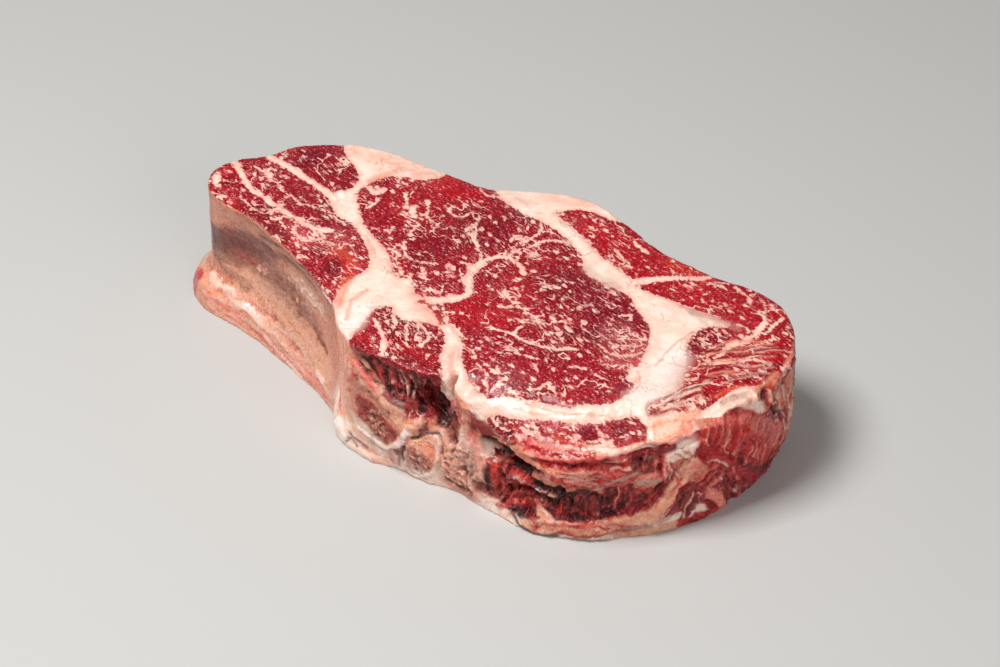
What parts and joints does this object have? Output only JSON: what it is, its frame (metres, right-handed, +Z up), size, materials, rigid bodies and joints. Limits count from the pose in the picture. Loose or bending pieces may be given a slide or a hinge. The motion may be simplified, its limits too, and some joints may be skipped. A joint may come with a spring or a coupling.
{
  "type": "raw beef rib roast",
  "caption": "Thick bone-in cut of raw beef rib lying on its cut face: marbled muscles in seams of pale fat, a rib along one straight wall, sawn chine bones, a torn drooping shoulder.",
  "frame": {"origin": "middle of the plan's bounding box, on the surface that the lower cut face lies on", "axes": "+X from the rib's tip to the rounded outer end, the longest extent; +Y from the chine and front wall to the fat-capped back; +Z up through the thickness"},
  "size_m": [0.2784, 0.139, 0.058],
  "materials": {
    "lean_meat": "moist deep red beef muscle with pale marbling",
    "fibrous_meat": "moist darker torn muscle fibres",
    "fat": "satin creamy pink-white beef fat",
    "rib_membrane": "glossy grey-tan membrane over bone",
    "flap_membrane": "glossy pink-beige flap of membrane, fat and meat",
    "sawn_bone": "sawn bone with a porous red-brown marrow",
    "cartilage": "smooth white cartilage"
  },
  "bodies": {
    "root": {"eye_muscle": "lean_meat", "cap_muscle": "lean_meat", "end_muscle": "lean_meat", "strip_muscle": "lean_meat", "shoulder_muscle": "fibrous_meat", "chine_muscle": "lean_meat", "intercostal_muscle": "lean_meat", "flank_muscle": "lean_meat", "seam_fat": "fat", "rib_bone": "rib_membrane", "rib_flap": "flap_membrane", "chine_bone": "sawn_bone", "process_bone": "sawn_bone", "cartilage_knob": "cartilage"}
  },
  "joints": []
}
